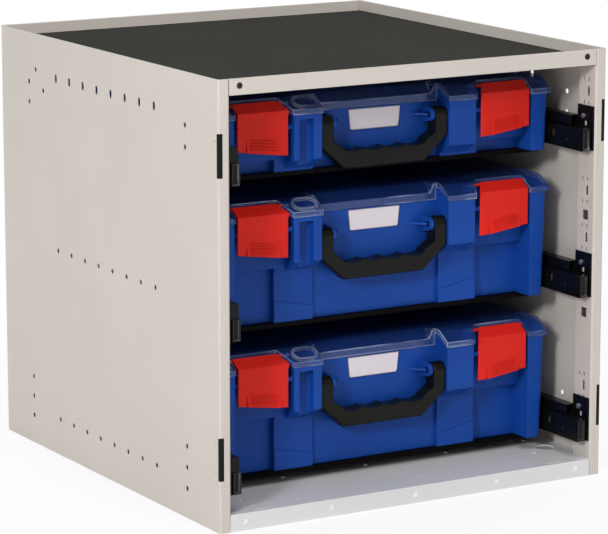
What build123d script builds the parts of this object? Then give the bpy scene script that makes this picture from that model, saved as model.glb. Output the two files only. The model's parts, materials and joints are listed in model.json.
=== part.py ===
from build123d import *
import os

# Steel cabinet with a matted top and three lidded carrying cases on telescopic slides.
# Millimetres. The origin is the middle of the base, +Z is up and the open front faces -Y.

# Cabinet shell
cabinet_width = 505.0
cabinet_depth = 540.0
cabinet_height = 500.0
sheet = 1.5
bend_radius = 2.5
front_flange = 14.0
post_depth = 33.0
rear_flange = 14.0
rail_height = 18.0
plinth_height = 19.5
panel_flange = 14.0
rim_above_mat = 12.5
mat_thickness = 3.0
mat_gap = 1.0
panel_gap = 0.3
overrun = 5.0
hole_sides = 8
wide_hole_sides = 16

# Holes in the cabinet
row_hole_count = 8
row_hole_pitch = 35.0
row_hole_radius = 3.2
row_slot_length = 10.0
row_low_height = 44.0
row_top_drop = 47.0
corner_hole_inset = 75.5
corner_hole_pitch = 24.2
corner_low_height = 34.0
corner_top_drop = 58.5
corner_low_count = 3
corner_top_count = 2
stray_hole_inset = 93.8
stray_hole_drop = 42.6
stray_hole_step = 19.6
stray_hole_fall = 22.8
pin_hole_inset = 9.0
pin_hole_radius = 1.2
pin_hole_pitch = 31.0
fold_slot_length = 48.5
fold_slot_width = 5.5
fold_slot_depth = 4.0
fold_slot_low = 83.0
fold_slot_drop = 82.5
plug_tongue = 4.0
post_slot_shares = (0.21, 0.56, 0.67, 0.9)
post_slot_width = 4.4
post_slot_length = 11.0
post_slot_inset = 14.5
post_hook_width = 2.8
post_hook_height = 4.0
post_hook_pitch = 9.0
post_hook_inset = 18.5
post_hook_reach = 13.5
post_window_shares = (0.383, 0.612)
post_window = 11.5
post_window_inset = 17.0
floor_hole_count = 5
floor_hole_pitch = 110.0
floor_hole_radius = 3.2
floor_hole_setback = 109.0
base_bolt_radius = 3.3
base_bolt_inset_x = 56.5
base_bolt_inset_y = 53.0
cable_hole_radius = 11.0
cable_hole_inset_x = 28.5
cable_hole_setback = 71.0
drain_slot_length = 24.0
drain_slot_width = 3.0
drain_slot_inset = 59.5
drain_slot_setback = 6.0

# Rail screws in the top front rail
rail_screw_inset = 26.5
rail_screw_drop = 8.0
rail_screw_radius = 2.0
rail_screw_head_radius = 3.6
rail_screw_head = 1.8
rail_screw_socket_radius = 1.3
rail_nut_radius = 3.4
rail_nut = 2.8
screw_clearance = 0.1

# Telescopic slides
slide_sheet = 1.5
slide_height = 26.0
slide_lift = 5.5
slide_width = 15.0
slide_member_width = 7.1
slide_clearance = 0.4
slide_front_gap = 9.0
slide_rear_gap = 80.0
mid_rail_setback = 11.0
plate_depth = 31.0
plate_height = 51.0
plate_front_gap = 2.0
plate_screw_inset = 19.0
plate_screw_height = 38.5
plate_screw_radius = 1.8
plate_screw_head_radius = 3.2
plate_screw_head = 1.8
plate_screw_length = 6.0
plate_window = 5.5
plate_window_inset = 15.5
plate_window_height = 27.5
hood_height = 12.5
hood_width = 11.5
hood_lip = 11.0
rear_bracket_foot = 18.0
rail_window_length = 11.0
rail_window_height = 9.0
rail_window_setback = 50.0
rail_window_lift = 10.5
cap_width = 11.0
cap_length = 5.0
cap_plug = 6.0
cap_fillet = 1.5
cap_groove_radius = 2.2
cap_to_rail = 1.0
catch_width = 10.0
catch_height = 17.5
catch_depth = 14.0
catch_fillet = 3.5
catch_gap = 0.5
screw_sides = 6

# Carrier trays under the cases
tray_sheet = 2.0
tray_side_height = 26.0
tray_front_lip = 5.0
tray_setback = 19.5
tray_rear_gap = 1.0
tray_rear_height = 12.0
tray_screw_count = 3
tray_screw_pitch_share = 0.345
tray_screw_radius = 2.0
tray_screw_head_radius = 3.4
tray_screw_head = 1.6
tray_screw_reach = 2.4

# Cases: overall
case_setback = 67.0
case_depth = 365.0
case_side_gap = 2.0
case_wall = 2.5
case_corner = 7.0
draft_share = 0.03
shallow_height = 84.0
floor_gap = 15.5
level_gap = 31.0
head_gap = 22.0

# Cases: stepped front, depths measured back from the front of the corner posts
centre_recess = 26.0
shoulder_recess = 20.5
latch_recess = 20.0
latch_panel_recess = 30.0
column_width = 36.0
post_width = 24.3
shoulder_width = 14.0
column_drop = 69.0
column_undercut = 12.0
deep_ledge_drop = 77.5
shallow_ledge_drop = 69.5
chevron_depth = 1.2
chevron_low = 15.0
chevron_high = 25.0
groove_radius = 9.0
groove_depth = 13.0
groove_shift = 2.0
groove_top_drop = 23.5
catch_bar_radius = 2.8
catch_bar_depth = 6.0
catch_bar_drop = 31.5

# Lids
lid_overhang = 1.2
lid_wall = 2.2
lid_top = 2.4
lid_skirt = 6.0
lid_seat = 0.3
bevel_drop = 12.0
bevel_run = 18.5
visor_drop = 11.0
visor_run = 20.0
visor_skirt = 8.5
visor_shoulder = 8.0
recess_slant = 11.5
lug_long_radius = 16.0
lug_short_radius = 9.5
lug_wall = 2.0
lug_height = 3.0

# Lid hinges
hinge_place = 130.0
hinge_radius = 4.2
hinge_pin_radius = 2.0
hinge_knuckle = 12.0
hinge_side_gap = 0.4
hinge_back_gap = 0.6
hinge_drop = 7.0
hinge_web = 8.0
bore_clearance = 0.05

# Latches
latch_gap = 7.3
latch_side_gap = 2.8
latch_thickness = 2.8
latch_proud = 1.0
latch_flap_drop = 11.8
latch_length = 42.0
latch_skew = 8.5
latch_slant = 9.2
latch_barrel_radius = 3.0
latch_pivot_depth = 14.5
latch_pivot_drop = 5.6
latch_pin_radius = 1.8
latch_end_gap = 1.5
latch_edge_bevel = 5.5
latch_edge_depth = 1.8
latch_pad_margin = 11.0
latch_pad_height = 17.0
latch_pad_proud = 3.0
latch_rib_count = 4
latch_rib_pitch = 3.4
latch_rib_height = 1.4
latch_rib_proud = 0.7
latch_rib_margin = 5.0
latch_nib_width = 20.0
latch_nib_gap = 0.3

# Handles
handle_half = 82.2
handle_side_gap = 1.8
handle_thickness = 18.0
handle_arm = 14.6
handle_drop = 51.8
handle_corner_drop = 25.5
handle_corner_run = 29.7
handle_inner_drop = 19.0
handle_grip = 22.0
handle_inner_run = 16.6
handle_fillet = 4.0
handle_depth = 11.5
deep_pivot_drop = 44.2
shallow_pivot_drop = 32.7
scallop_count = 4
scallop_pitch = 27.0
scallop_radius = 36.0
scallop_depth = 2.6
boss_radius = 7.5
boss_width = 4.5
boss_gap = 0.5
boss_pin_radius = 3.5
boss_foot = 10.0
boss_gusset = 15.0
boss_gusset_thickness = 2.5

# Label cards
label_width = 69.0
label_height = 24.0
label_taper = 2.5
label_corner = 2.5
label_thickness = 0.8
label_pocket = 1.0
label_margin = 1.0
label_drop = 21.5

# Cabinet places
half_width = cabinet_width / 2
front_y = -cabinet_depth / 2
rear_y = cabinet_depth / 2
wall_in = half_width - sheet
post_in = half_width - front_flange
rail_half = post_in - panel_gap
deck_top = cabinet_height - rim_above_mat - mat_thickness
deck_under = deck_top - sheet
rail_bottom = cabinet_height - rail_height
back_in = rear_y - 2 * sheet
back_half = wall_in - bend_radius
panel_front = front_y + bend_radius + panel_gap
inner_skin = front_y + 2 * sheet
rail_screw_x = half_width - rail_screw_inset
rail_screw_z = cabinet_height - rail_screw_drop

# Slide places on the right-hand side
slide_in = post_in - slide_width
slide_front = front_y + slide_front_gap
slide_rear = rear_y - slide_rear_gap
drawer_tip = slide_in + slide_member_width
fixed_tip = post_in - slide_member_width
plate_front = front_y + plate_front_gap
plate_rear = plate_front + plate_depth
cap_front = slide_front - cap_to_rail - cap_length
cap_rear = slide_front - cap_to_rail

# Case places
case_front = front_y + case_setback
case_rear = case_front + case_depth
case_half = slide_in - case_side_gap - lid_overhang
lid_half = case_half + lid_overhang
column_in = handle_half + handle_side_gap
column_out = column_in + column_width
shoulder_out = column_out + shoulder_width
corner_in = case_half - post_width
latch_in = column_out + latch_gap
latch_out = corner_in - lid_overhang - latch_side_gap
pivot_y = case_front + handle_depth
hinge_y = case_rear + lid_overhang + hinge_back_gap + hinge_radius
latch_pivot_y = case_front + latch_pivot_depth
latch_front = case_front - latch_proud
tray_front = case_front + tray_setback
tray_rear = case_rear + tray_rear_gap + tray_sheet

# Each level: underside of its case, height of the case and drop of its handle's pivot below the lid
first_base = plinth_height + floor_gap
last_base = deck_under - head_gap - shallow_height
level_pitch = (last_base - first_base) / 2
deep_height = level_pitch - level_gap
levels = {
    "lower": (first_base, deep_height, deep_pivot_drop),
    "middle": (first_base + level_pitch, deep_height, deep_pivot_drop),
    "upper": (last_base, shallow_height, shallow_pivot_drop),
}

os.makedirs("parts", exist_ok=True)


def save(piece, name):
    """Label a finished piece and write it to its own file."""
    piece.part.label = name
    export_step(piece.part, f"parts/{name}.step")


def across(y):
    """Plane square to Y at this place, with X to the right and Z up; it extrudes towards -Y."""
    return Plane.XZ.offset(-y)


def span(x0, x1, y0, y1, z0, z1, mode=Mode.ADD):
    """Add or cut a straight block between two opposite corners."""
    with Locations(((x0 + x1) / 2, (y0 + y1) / 2, (z0 + z1) / 2)):
        Box(x1 - x0, y1 - y0, z1 - z0, mode=mode)


def rod(radius, x0, x1, y, z, mode=Mode.ADD):
    """Add or cut a round bar along X."""
    with Locations(((x0 + x1) / 2, y, z)):
        Cylinder(radius, x1 - x0, rotation=(0, 90, 0), mode=mode)


# Side panels: wall, front flange, slotted return post and rear flange folded from one sheet
row_heights = (
    row_low_height,
    (row_low_height + cabinet_height - row_top_drop) / 2,
    cabinet_height - row_top_drop,
)
corner_y = rear_y - corner_hole_inset
corner_heights = [corner_low_height + i * corner_hole_pitch for i in range(corner_low_count)]
corner_heights += [cabinet_height - corner_top_drop - i * corner_hole_pitch for i in range(corner_top_count)]
outer_corner_heights = (min(corner_heights), max(corner_heights))
inner_corner_heights = sorted(corner_heights)[1:-1]
fold_slot_heights = (fold_slot_low, cabinet_height - fold_slot_drop)
stray_y = rear_y - stray_hole_inset
stray_z = cabinet_height - stray_hole_drop

with BuildPart() as right_side_panel:
    with BuildSketch():
        with BuildLine():
            FilletPolyline(
                (post_in, front_y + post_depth),
                (post_in, front_y),
                (half_width, front_y),
                (half_width, rear_y),
                (half_width - rear_flange, rear_y),
                radius=bend_radius,
            )
            offset(amount=sheet, side=Side.LEFT)
        make_face()
    extrude(amount=cabinet_height)
    # The return post stops under the deck and on the floor
    post_end = front_y + post_depth + overrun
    post_cut = (post_in - overrun, post_in + sheet + panel_gap, front_y + bend_radius, post_end)
    span(*post_cut, deck_under, cabinet_height + overrun, mode=Mode.SUBTRACT)
    span(*post_cut, -overrun, plinth_height, mode=Mode.SUBTRACT)
    # Hole rows, corner holes and slots in the wall
    with BuildSketch(Plane.YZ.offset(wall_in - sheet)):
        with Locations([(y, z) for y in (-corner_y, corner_y) for z in outer_corner_heights]):
            Circle(row_hole_radius)
        with Locations([(y, z) for y in (-corner_y, corner_y) for z in inner_corner_heights]):
            RegularPolygon(row_hole_radius, hole_sides)
        with Locations((0, row_heights[0]), (0, row_heights[1])):
            with GridLocations(row_hole_pitch, 0, row_hole_count, 1):
                RegularPolygon(row_hole_radius, hole_sides)
        with Locations((0, row_heights[2])):
            with GridLocations(row_hole_pitch, 0, row_hole_count, 1):
                Rectangle(2 * row_hole_radius, row_slot_length - 2 * row_hole_radius)
                with GridLocations(0, row_slot_length - 2 * row_hole_radius, 1, 2):
                    RegularPolygon(row_hole_radius, hole_sides, major_radius=False)
        with Locations((stray_y, stray_z), (stray_y - stray_hole_step, stray_z - stray_hole_fall)):
            RegularPolygon(row_hole_radius, hole_sides)
        with Locations([(front_y + pin_hole_inset, z) for z in fold_slot_heights]):
            with GridLocations(0, pin_hole_pitch, 1, 2):
                RegularPolygon(pin_hole_radius, hole_sides)
    extrude(amount=2 * sheet + overrun, mode=Mode.SUBTRACT)
    # Hinge slots through the front fold
    for height in fold_slot_heights:
        slot_x = (half_width - fold_slot_width, half_width + overrun)
        slot_y = (front_y - overrun, front_y + fold_slot_depth)
        span(*slot_x, *slot_y, height - fold_slot_length / 2, height + fold_slot_length / 2, mode=Mode.SUBTRACT)
    # Hook slots in the return post
    with BuildSketch(Plane.YZ.offset(post_in - overrun)):
        with Locations([(0, cabinet_height * share) for share in post_slot_shares]):
            with Locations((front_y + post_slot_inset, 0)):
                Rectangle(post_slot_width, post_slot_length)
            with Locations((front_y + post_hook_inset, 0)):
                with GridLocations(post_hook_pitch, 2 * post_hook_reach, 2, 2):
                    Rectangle(post_hook_width, post_hook_height)
        with Locations([(front_y + post_window_inset, cabinet_height * share) for share in post_window_shares]):
            Rectangle(post_window, post_window)
        with Locations([(plate_front + plate_screw_inset, base + slide_lift + plate_screw_height)
                        for base, height, drop in levels.values()]):
            RegularPolygon(plate_screw_radius + screw_clearance, screw_sides)
    extrude(amount=overrun + sheet + panel_gap, mode=Mode.SUBTRACT)
save(right_side_panel, "right_side_panel")

with BuildPart() as left_side_panel:
    mirror(right_side_panel.part, about=Plane.YZ)
save(left_side_panel, "left_side_panel")

# Black plugs that fill the slots in the front folds, each held by a tongue behind the flange
with BuildPart() as slot_plugs:
    plug_in = half_width - fold_slot_width + panel_gap
    plug_rear = front_y + fold_slot_depth - panel_gap
    plug_length = fold_slot_length - 2 * panel_gap
    for height in fold_slot_heights:
        with BuildSketch(Plane.XY.offset(height - plug_length / 2)) as plug_outline:
            with BuildLine():
                Polyline(
                    (half_width, front_y),
                    (half_width, plug_rear),
                    (plug_in - plug_tongue, plug_rear),
                    (plug_in - plug_tongue, front_y + sheet),
                    (plug_in, front_y + sheet),
                    (plug_in, front_y),
                    close=True,
                )
            make_face()
            fillet(plug_outline.vertices().sort_by_distance((half_width, front_y, 0))[0], bend_radius)
        extrude(amount=plug_length)
    mirror(slot_plugs.part, about=Plane.YZ)
save(slot_plugs, "slot_plugs")

# Back panel, between the rear flanges
with BuildPart() as back_panel:
    span(-back_half, back_half, back_in, rear_y - sheet, 0, cabinet_height)
save(back_panel, "back_panel")

def rail_screw(side, clearance):
    """Countersunk screw through the front rail's two skins, or its hole when it has clearance."""
    x = side * rail_screw_x
    with BuildPart() as screw:
        with BuildSketch(across(inner_skin + rail_nut)):
            with Locations((x, rail_screw_z)):
                Circle(rail_screw_radius + clearance)
        extrude(amount=rail_nut + 2 * sheet)
        with BuildSketch(across(front_y)):
            with Locations((x, rail_screw_z)):
                Circle(rail_screw_head_radius + clearance)
        with BuildSketch(across(front_y + rail_screw_head)):
            with Locations((x, rail_screw_z)):
                Circle(rail_screw_radius + clearance)
        loft()
    return screw


# Top panel: sunken deck with a hemmed front rail and turned-down edges
with BuildPart() as top_panel:
    with BuildSketch(Plane.YZ):
        with BuildLine():
            Polyline(
                (front_y, rail_bottom),
                (front_y, cabinet_height),
                (inner_skin, cabinet_height),
                (inner_skin, deck_top),
                (back_in, deck_top),
                (back_in, deck_under),
                (front_y + sheet, deck_under),
                (front_y + sheet, rail_bottom),
                close=True,
            )
        make_face()
    extrude(amount=rail_half, both=True)
    hem_edges = top_panel.edges().filter_by(Axis.X).group_by(Axis.Z)[-1]
    fillet(hem_edges, sheet - panel_gap)
    for side in (-1, 1):
        wing = sorted((side * (rail_half - overrun), side * wall_in))
        span(*wing, panel_front, back_in, deck_under, deck_top)
        edge = sorted((side * (wall_in - sheet), side * wall_in))
        span(*edge, front_y + post_depth, back_in, deck_under - panel_flange, deck_under)
    span(-back_half, back_half, back_in - sheet, back_in, deck_under - panel_flange, deck_under)
    for side in (-1, 1):
        add(rail_screw(side, screw_clearance).part, mode=Mode.SUBTRACT)
save(top_panel, "top_panel")

# Bottom panel: raised floor with a drilled front plinth
base_bolt_x = half_width - base_bolt_inset_x
base_bolt_y = rear_y - base_bolt_inset_y
cable_hole_x = half_width - cable_hole_inset_x
drain_slot_x = half_width - drain_slot_inset

with BuildPart() as bottom_panel:
    span(-rail_half, rail_half, front_y, front_y + sheet, 0, plinth_height)
    span(-rail_half, rail_half, front_y, panel_front, plinth_height - sheet, plinth_height)
    span(-wall_in, wall_in, panel_front, back_in, plinth_height - sheet, plinth_height)
    span(-wall_in, wall_in, back_in - sheet, back_in, 0, plinth_height - sheet)
    for side in (-1, 1):
        edge = sorted((side * (wall_in - sheet), side * wall_in))
        span(*edge, panel_front, back_in - sheet, 0, plinth_height - sheet)
    with BuildSketch(across(front_y - overrun)):
        with Locations((0, plinth_height / 2)):
            with GridLocations(floor_hole_pitch, 0, floor_hole_count - 2, 1):
                RegularPolygon(floor_hole_radius, hole_sides)
            with GridLocations(floor_hole_pitch * (floor_hole_count - 1), 0, 2, 1):
                Circle(floor_hole_radius)
    extrude(amount=-2 * overrun, mode=Mode.SUBTRACT)
    with BuildSketch(Plane.XY.offset(plinth_height - 2 * sheet)):
        with Locations((0, front_y + floor_hole_setback)):
            with GridLocations(floor_hole_pitch, 0, floor_hole_count, 1):
                RegularPolygon(floor_hole_radius, hole_sides)
        with Locations([(x, y) for x in (-base_bolt_x, base_bolt_x) for y in (-base_bolt_y, base_bolt_y)]):
            Circle(base_bolt_radius)
        with Locations([(x, front_y + cable_hole_setback) for x in (-cable_hole_x, cable_hole_x)]):
            RegularPolygon(cable_hole_radius, wide_hole_sides)
        with Locations([(x, front_y + drain_slot_setback) for x in (-drain_slot_x, drain_slot_x)]):
            Rectangle(drain_slot_length, drain_slot_width)
    extrude(amount=2 * sheet, mode=Mode.SUBTRACT)
save(bottom_panel, "bottom_panel")

# Mat lying in the sunken top
with BuildPart() as top_mat:
    mat_half = wall_in - mat_gap
    mat_front = inner_skin + rail_nut + mat_gap
    span(-mat_half, mat_half, mat_front, back_in - mat_gap, deck_top, deck_top + mat_thickness)
save(top_mat, "top_mat")

# Screws and nuts of the top front rail
with BuildPart() as rail_screws:
    for side in (-1, 1):
        add(rail_screw(side, 0).part)
    with BuildSketch(across(front_y + rail_screw_head)):
        with Locations((-rail_screw_x, rail_screw_z), (rail_screw_x, rail_screw_z)):
            RegularPolygon(rail_screw_socket_radius, 6)
    extrude(amount=rail_screw_head + overrun, mode=Mode.SUBTRACT)
save(rail_screws, "rail_screws")

with BuildPart() as rail_nuts:
    with BuildSketch(across(inner_skin + rail_nut)):
        with Locations((-rail_screw_x, rail_screw_z), (rail_screw_x, rail_screw_z)):
            RegularPolygon(rail_nut_radius, 6)
            Circle(rail_screw_radius + screw_clearance, mode=Mode.SUBTRACT)
    extrude(amount=rail_nut)
save(rail_nuts, "rail_nuts")

# Slide members of the right-hand side, measured up from the underside of their case
slide_top = slide_lift + slide_height
slide_middle = slide_lift + slide_height / 2
web_in = post_in - slide_sheet
web_out = slide_in + slide_sheet
hood_top = slide_top + hood_height
hood_in = post_in - hood_width
tray_screw_reach_y = min(tray_rear, slide_rear) - tray_front
tray_screw_pitch = tray_screw_pitch_share * tray_screw_reach_y
tray_screw_start = tray_front + (tray_screw_reach_y - tray_screw_pitch * (tray_screw_count - 1)) / 2
tray_screw_places = [tray_screw_start + i * tray_screw_pitch for i in range(tray_screw_count)]

# Cabinet member: channel, front mounting plate, hood and rear bracket
with BuildPart() as fixed_rail:
    with BuildSketch(across(slide_rear)):
        with BuildLine():
            Polyline(
                (post_in, slide_lift),
                (post_in, slide_top),
                (fixed_tip, slide_top),
                (fixed_tip, slide_top - slide_sheet),
                (web_in, slide_top - slide_sheet),
                (web_in, slide_lift + slide_sheet),
                (fixed_tip, slide_lift + slide_sheet),
                (fixed_tip, slide_lift),
                close=True,
            )
        make_face()
    extrude(amount=slide_rear - slide_front)
    with BuildSketch(across(slide_rear)):
        with BuildLine():
            Polyline(
                (post_in, slide_top),
                (post_in, hood_top),
                (hood_in, hood_top),
                (hood_in, hood_top - hood_lip),
                (hood_in + slide_sheet, hood_top - hood_lip),
                (hood_in + slide_sheet, hood_top - slide_sheet),
                (web_in, hood_top - slide_sheet),
                (web_in, slide_top),
                close=True,
            )
        make_face()
    extrude(amount=slide_rear - plate_rear)
    span(web_in, post_in, plate_front, plate_rear, slide_lift, slide_lift + plate_height)
    with BuildSketch(Plane.YZ.offset(web_in - overrun)):
        with Locations((plate_front + plate_window_inset, slide_lift + plate_window_height + plate_window / 2)):
            Rectangle(plate_window, plate_window)
        with Locations((plate_front + plate_screw_inset, slide_lift + plate_screw_height)):
            RegularPolygon(plate_screw_radius + screw_clearance, screw_sides)
    extrude(amount=overrun + 2 * slide_sheet, mode=Mode.SUBTRACT)
    # Rear bracket reaching out to the side wall
    span(post_in, wall_in, slide_rear - slide_sheet, slide_rear, slide_lift, hood_top)
    span(wall_in - slide_sheet, wall_in, slide_rear, slide_rear + rear_bracket_foot, slide_lift, hood_top)

# Middle member: an I-section running inside both channels
with BuildPart() as mid_rail:
    mid_start = slide_front + mid_rail_setback
    mid_half_height = slide_height / 2 - slide_sheet - slide_clearance
    mid_half_width = slide_width / 2 - slide_sheet - slide_clearance
    with BuildSketch(across(slide_rear)):
        with Locations((post_in - slide_width / 2, slide_middle)):
            Rectangle(2 * mid_half_width, 2 * mid_half_height)
            mid_hollow = (2 * mid_half_width - slide_sheet, 2 * mid_half_height - 2 * slide_sheet)
            with Locations((mid_half_width, 0), (-mid_half_width, 0)):
                Rectangle(*mid_hollow, mode=Mode.SUBTRACT)
    extrude(amount=slide_rear - mid_start)

# Moving member: a channel with a window near its front
with BuildPart() as drawer_rail:
    with BuildSketch(across(slide_rear)):
        with BuildLine():
            Polyline(
                (slide_in, slide_lift),
                (drawer_tip, slide_lift),
                (drawer_tip, slide_lift + slide_sheet),
                (web_out, slide_lift + slide_sheet),
                (web_out, slide_top - slide_sheet),
                (drawer_tip, slide_top - slide_sheet),
                (drawer_tip, slide_top),
                (slide_in, slide_top),
                close=True,
            )
        make_face()
    extrude(amount=slide_rear - cap_rear)
    with BuildSketch(Plane.YZ.offset(slide_in - overrun)):
        with Locations((slide_front + rail_window_setback, slide_lift + rail_window_lift)):
            Rectangle(rail_window_length, rail_window_height, align=Align.MIN)
        with Locations([(y, slide_middle) for y in tray_screw_places]):
            RegularPolygon(tray_screw_radius + screw_clearance, screw_sides)
    extrude(amount=overrun + 2 * slide_sheet, mode=Mode.SUBTRACT)

# Plastic bumper plugged into the front of the moving rail
with BuildPart() as rail_cap:
    plug_gap = slide_sheet + panel_gap
    span(slide_in, slide_in + cap_width, cap_front, cap_rear, slide_lift, slide_top)
    fillet(rail_cap.faces().sort_by(Axis.Y)[0].edges(), cap_fillet)
    with Locations((slide_in + cap_width / 2, cap_front + cap_length / 2, slide_top)):
        Cylinder(cap_groove_radius, 2 * cap_groove_radius, mode=Mode.SUBTRACT)
    plug = (slide_in + plug_gap, drawer_tip - panel_gap, cap_rear, cap_rear + cap_plug)
    span(*plug, slide_lift + plug_gap, slide_top - plug_gap)

with BuildPart() as rail_caps:
    add(rail_cap.part)
    mirror(rail_cap.part, about=Plane.YZ)

# Round-shouldered catch block on the front plate of each left-hand slide
with BuildPart() as slide_catches:
    for base, height, drop in levels.values():
        catch_low = base + slide_top + catch_gap
        with BuildSketch(across(plate_front + catch_depth)) as catch_outline:
            with BuildLine():
                Polyline(
                    (-web_in, catch_low),
                    (catch_width - web_in, catch_low),
                    (catch_width - web_in, catch_low + catch_height),
                    (-web_in, catch_low + catch_height),
                    close=True,
                )
            make_face()
            shoulder = (catch_width - web_in, catch_low + catch_height, 0)
            fillet(catch_outline.vertices().sort_by_distance(shoulder)[0], catch_fillet)
        extrude(amount=catch_depth)
save(slide_catches, "slide_catches")

# Folded tray that hangs between the two moving rails and carries a case
with BuildPart() as carrier_tray:
    side_in = slide_in - tray_sheet
    span(-slide_in, slide_in, tray_front, tray_rear, -tray_sheet, 0)
    span(-side_in, side_in, tray_front, tray_front + tray_sheet, -tray_front_lip, 0)
    span(-side_in, side_in, tray_rear - tray_sheet, tray_rear, 0, tray_rear_height)
    span(-slide_in, -side_in, tray_front, tray_rear, 0, tray_side_height)
    span(side_in, slide_in, tray_front, tray_rear, 0, tray_side_height)
    with BuildSketch(Plane.YZ):
        with Locations([(y, slide_middle) for y in tray_screw_places]):
            RegularPolygon(tray_screw_radius + screw_clearance, screw_sides)
    extrude(amount=slide_in + overrun, both=True, mode=Mode.SUBTRACT)

# Screws that join the tray's sides to the moving rails
with BuildPart() as tray_screws:
    for side in (-1, 1):
        for radius, length in (
            (tray_screw_head_radius, -tray_screw_head),
            (tray_screw_radius, tray_sheet + tray_screw_reach),
        ):
            with BuildSketch(Plane.YZ.offset(side * side_in)):
                with Locations([(y, slide_middle) for y in tray_screw_places]):
                    RegularPolygon(radius, screw_sides)
            extrude(amount=side * length)

# Screws that hold the front plates of all the slides
with BuildPart() as slide_screws:
    screw_y = plate_front + plate_screw_inset
    screw_heights = [base + slide_lift + plate_screw_height for base, height, drop in levels.values()]
    for side in (-1, 1):
        for radius, length in (
            (plate_screw_head_radius, -plate_screw_head),
            (plate_screw_radius, plate_screw_length),
        ):
            with BuildSketch(Plane.YZ.offset(side * web_in)):
                with Locations([(screw_y, z) for z in screw_heights]):
                    RegularPolygon(radius, screw_sides)
            extrude(amount=side * length)
save(slide_screws, "slide_screws")

# The cases' lids and what hangs on them, measured down from the top of the lid
visor_y = case_front + centre_recess - lid_overhang
lid_front = case_front - lid_overhang
lid_rear = case_rear + lid_overhang
recess_y = case_front + latch_recess
visor_half = column_in - lid_overhang


def above_parting(drop):
    """Everything above the joint between a case and its lid, lowered by drop."""
    seat = -lid_skirt - drop
    front = seat - bevel_drop
    visor = -visor_drop - visor_skirt - drop
    ahead = lid_front - overrun
    behind = hinge_y + hinge_radius + overrun
    # The joint runs level along the front, up the bevel and level again to the back
    with BuildPart() as block:
        with BuildSketch(Plane.YZ):
            with BuildLine():
                Polyline(
                    (ahead, front),
                    (lid_front, front),
                    (case_front + bevel_run, seat),
                    (behind, seat),
                    (behind, overrun),
                    (ahead, overrun),
                    close=True,
                )
            make_face()
        extrude(amount=lid_half + overrun, both=True)
        # Between the columns it dips with the visor
        with BuildSketch(Plane.YZ):
            with BuildLine():
                Polyline(
                    (ahead, visor),
                    (visor_y + lid_wall, visor),
                    (visor_y + visor_run, seat),
                    (visor_y + visor_run, overrun),
                    (ahead, overrun),
                    close=True,
                )
            make_face()
        extrude(amount=visor_half + drop, both=True)
    return block


def visor_cut(drop):
    """What the slope and the slanted cheeks of the visor take away, lowered by drop."""
    with BuildPart() as cut:
        with BuildSketch(Plane.YZ):
            with BuildLine():
                Polyline(
                    (visor_y - overrun, -visor_drop - drop),
                    (visor_y, -visor_drop - drop),
                    (visor_y + visor_run, -drop),
                    (visor_y + visor_run, overrun),
                    (visor_y - overrun, overrun),
                    close=True,
                )
            make_face()
        extrude(amount=visor_half, both=True)
        with BuildSketch(across(visor_y + visor_run)):
            with BuildLine():
                Polyline(
                    (visor_shoulder - visor_half, -visor_drop - drop),
                    (visor_half - visor_shoulder, -visor_drop - drop),
                    (visor_half, overrun),
                    (-visor_half, overrun),
                    close=True,
                )
            make_face()
        extrude(amount=visor_run + overrun, mode=Mode.INTERSECT)
    return cut


def lid_block(inset, drop):
    """Solid under a lid's top surface, drawn in by inset all round and lowered by drop."""
    low = -visor_drop - visor_skirt
    with BuildPart() as block:
        with BuildSketch(Plane.XY.offset(low)):
            with BuildLine():
                Polyline(
                    (0, visor_y),
                    (visor_half, visor_y),
                    (visor_half, lid_front),
                    (column_out + lid_overhang, lid_front),
                    (column_out + lid_overhang + recess_slant, recess_y),
                    (corner_in - lid_overhang, recess_y),
                    (corner_in - lid_overhang, lid_front),
                    (lid_half, lid_front),
                    (lid_half, lid_rear),
                    (0, lid_rear),
                )
                mirror(about=Plane.YZ)
            make_face()
            if inset:
                offset(amount=-inset, kind=Kind.INTERSECTION)
        extrude(amount=-drop - low)
        with BuildSketch(Plane.YZ):
            with BuildLine():
                Polyline(
                    (lid_front, -bevel_drop - drop),
                    (case_front + bevel_run, -drop),
                    (case_front + bevel_run, overrun),
                    (lid_front, overrun),
                    close=True,
                )
            make_face()
        extrude(amount=lid_half + overrun, both=True, mode=Mode.SUBTRACT)
        add(visor_cut(drop).part, mode=Mode.SUBTRACT)
    return block


# Clear lid: bevelled shell with skirts, hinge knuckles, latch pivots and an oval lug on the left
lug_plane = Plane(
    origin=(-(column_in + column_out) / 2, (lid_front + case_front + bevel_run) / 2, -bevel_drop / 2),
    x_dir=(1, 0, 0),
    z_dir=(0, -bevel_drop, bevel_run + lid_overhang),
)
with BuildPart() as lid:
    add(lid_block(0, 0).part)
    add(lid_block(lid_wall, lid_top).part, mode=Mode.SUBTRACT)
    add(above_parting(0).part, mode=Mode.INTERSECT)
    with BuildSketch(lug_plane.offset(-lid_top / 2)):
        SlotOverall(2 * lug_long_radius, 2 * lug_short_radius)
        SlotOverall(2 * (lug_long_radius - lug_wall), 2 * (lug_short_radius - lug_wall), mode=Mode.SUBTRACT)
    extrude(amount=lug_height + lid_top / 2)
    for side in (-1, 1):
        # Knuckles on both sides of the case's own knuckle
        for step in (-1, 1):
            middle = side * hinge_place + step * (hinge_knuckle + hinge_side_gap)
            knuckle = (middle - hinge_knuckle / 2, middle + hinge_knuckle / 2)
            rod(hinge_radius, *knuckle, hinge_y, -hinge_drop)
            span(*knuckle, lid_rear, hinge_y, -hinge_drop, -lid_top)
            rod(hinge_pin_radius + bore_clearance, *knuckle, hinge_y, -hinge_drop, mode=Mode.SUBTRACT)
        pivots = sorted((side * column_out, side * (corner_in + lid_wall)))
        rod(latch_pin_radius + bore_clearance, *pivots, latch_pivot_y, -latch_pivot_drop, mode=Mode.SUBTRACT)

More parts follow.
